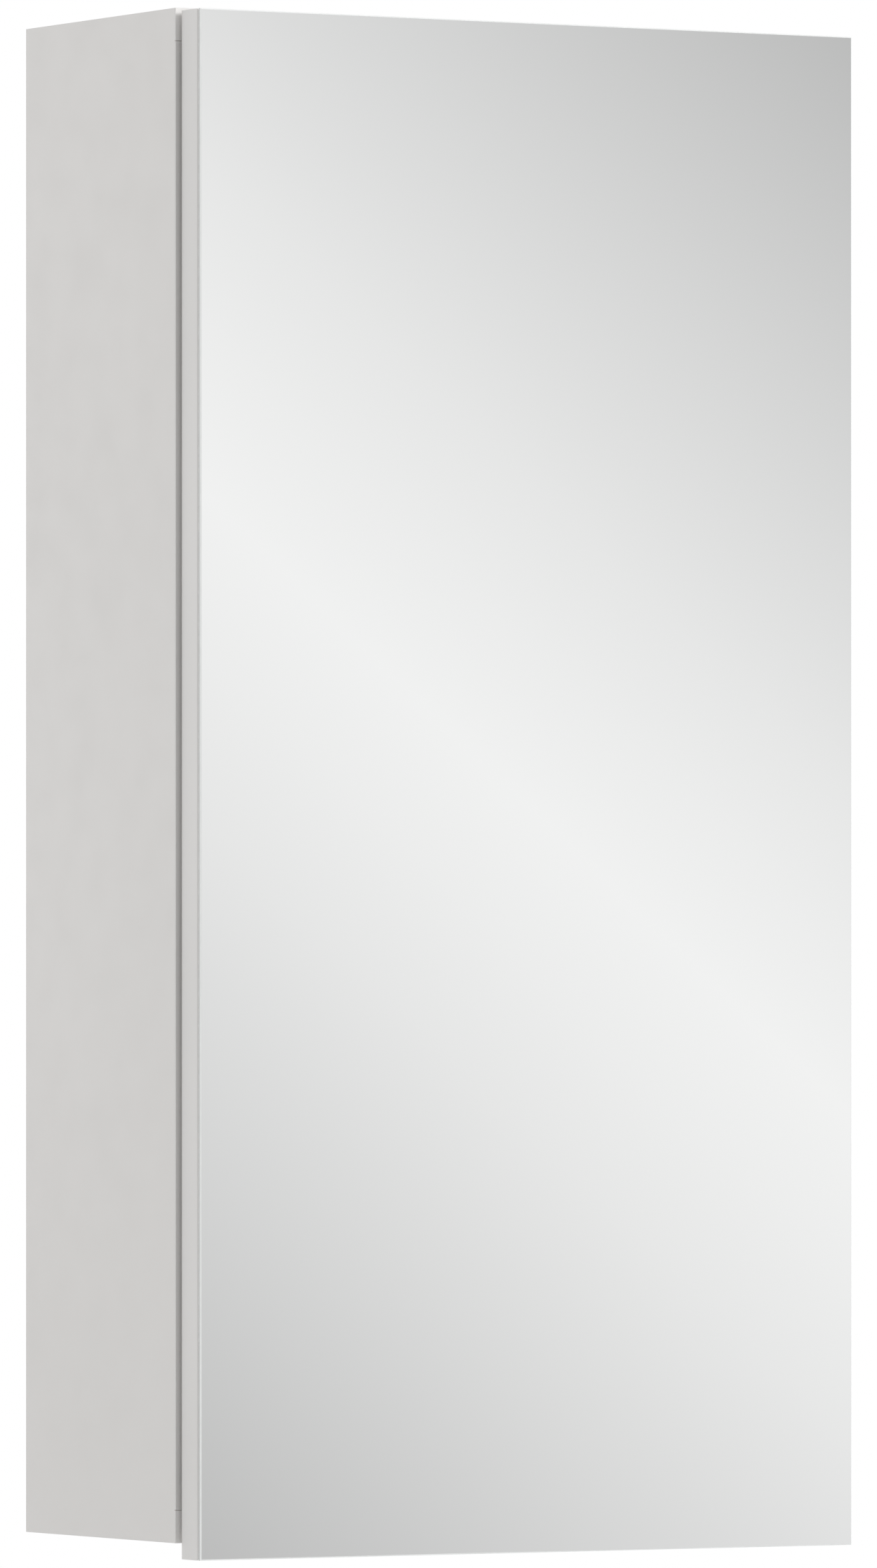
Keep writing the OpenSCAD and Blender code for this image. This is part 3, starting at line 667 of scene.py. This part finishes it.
floor.location = FLOOR_AT
floor.visible_glossy = False

# Curved card in front of the mirror, seen only in reflections, with soft diagonal bands
CARD_AT = Vector((-0.05, -0.1676, 0))
CARD_R = 2.0
CARD_LOW = -3.0
CARD_HIGH = 4.0
CARD_START = math.radians(-90)
CARD_END = math.radians(179.5)
CARD_STEPS = 116
# The palest line of the bands passes this angle at this height, and falls this steeply
RIDGE_ANGLE = math.radians(29.69)
RIDGE_Z = 0.424
RIDGE_SLOPE = 0.96
# Brightness wanted in the mirror at distances in metres from that line, up to half a band
BAND = 0.68
LEVELS = [(0, 0.88), (0.1, 0.842), (0.2, 0.794), (0.3, 0.731), (0.42, 0.656), (0.54, 0.58),
          (0.66, 0.504)]
# Share of the light that the silver sends back
SILVER_SHARE = 0.93
# The card turns white towards its two ends
CARD_FADE = math.radians(20)
CARD_WHITE = (1, 1, 1, 1)
# Sockets of a Mix node that mixes colours
MIX_A, MIX_B, MIX_RESULT = 6, 7, 2

card_material = bpy.data.materials.new("reflected_card")
card_material.use_nodes = True
g = Graph(card_material.node_tree)
split = g.add("ShaderNodeSeparateXYZ")
g.link(g.add("ShaderNodeTexCoord").outputs["Object"], split.inputs["Vector"])
turn = g.math("ARCTAN2", split.outputs["X"], g.math("MULTIPLY", split.outputs["Y"], -1.0))
along = g.math("MULTIPLY", g.math("SUBTRACT", turn, RIDGE_ANGLE), CARD_R * RIDGE_SLOPE)
across = g.math("SUBTRACT", g.math("SUBTRACT", RIDGE_Z, split.outputs["Z"]), along)
distance = g.math("PINGPONG", g.math("ABSOLUTE", across), BAND)
stops = [(position / BAND, (*[level / SILVER_SHARE] * 3, 1)) for position, level in LEVELS]
bands = g.ramp(g.math("DIVIDE", distance, BAND), stops)
to_end = g.math("MINIMUM", g.math("SUBTRACT", turn, CARD_START),
                g.math("SUBTRACT", CARD_END, turn))
soft = g.add("ShaderNodeMix", data_type="RGBA")
g.link(g.between(to_end, 0, CARD_FADE, interpolation_type="SMOOTHSTEP"), soft.inputs["Factor"])
soft.inputs[MIX_A].default_value = CARD_WHITE
g.link(bands, soft.inputs[MIX_B])
glow = g.add("ShaderNodeEmission")
g.link(soft.outputs[MIX_RESULT], glow.inputs["Color"])
g.link(glow.outputs["Emission"], g.add("ShaderNodeOutputMaterial").inputs["Surface"])

bm = bmesh.new()
columns = []
for i in range(CARD_STEPS + 1):
    a = CARD_START + (CARD_END - CARD_START) * i / CARD_STEPS
    x, y = CARD_R * math.sin(a), -CARD_R * math.cos(a)
    columns.append((bm.verts.new((x, y, CARD_LOW)), bm.verts.new((x, y, CARD_HIGH))))
for (a, b), (c, d) in zip(columns, columns[1:]):
    bm.faces.new((a, c, d, b))
card = stage_object("card", bm, card_material)
card.location = CARD_AT
card.visible_camera = False
card.visible_diffuse = False
card.visible_shadow = False
card.visible_transmission = False
card.visible_volume_scatter = False


# Light and camera

WORLD_LEVEL = 0.667
world = bpy.data.worlds.new("studio")
scene.world = world
world.use_nodes = True
g = Graph(world.node_tree)
rays = g.add("ShaderNodeLightPath").outputs
seen = g.math("MAXIMUM", rays["Is Camera Ray"], rays["Is Glossy Ray"])
seen = g.math("MAXIMUM", seen, rays["Is Transmission Ray"])
background = g.add("ShaderNodeBackground")
background.inputs["Color"].default_value = (1, 1, 1, 1)
g.link(g.between(seen, 0, 1, WORLD_LEVEL, 1.0), background.inputs["Strength"])
g.link(background.outputs["Background"], g.add("ShaderNodeOutputWorld").inputs["Surface"])

CENTRE = Vector((0, -0.08, 0.35))


def area_lamp(name, place, size, power):
    """A square lamp that shines on the cabinet's middle."""
    data = bpy.data.lights.new(name, "AREA")
    data.shape = "SQUARE"
    data.size = size
    data.energy = power
    lamp = bpy.data.objects.new(name, data)
    scene.collection.objects.link(lamp)
    lamp.location = place
    lamp.rotation_mode = "QUATERNION"
    lamp.rotation_quaternion = (CENTRE - Vector(place)).to_track_quat("-Z", "Y")


area_lamp("key", (1.4, -3.9, 2.2), size=2.0, power=100)
area_lamp("rear", (-1.25, 5.0, 0.75), size=1.6, power=30)

# The photograph's view, as its vanishing points give it
camera_data = bpy.data.cameras.new("camera")
camera_data.lens = 290.7
camera_data.sensor_width = 36
camera_data.shift_y = 0.144
camera = bpy.data.objects.new("camera", camera_data)
scene.collection.objects.link(camera)
camera.location = (-2.9295, -5.2190, 0.2432)
camera.rotation_euler = (math.radians(90), 0, math.radians(-29.69))
scene.camera = camera
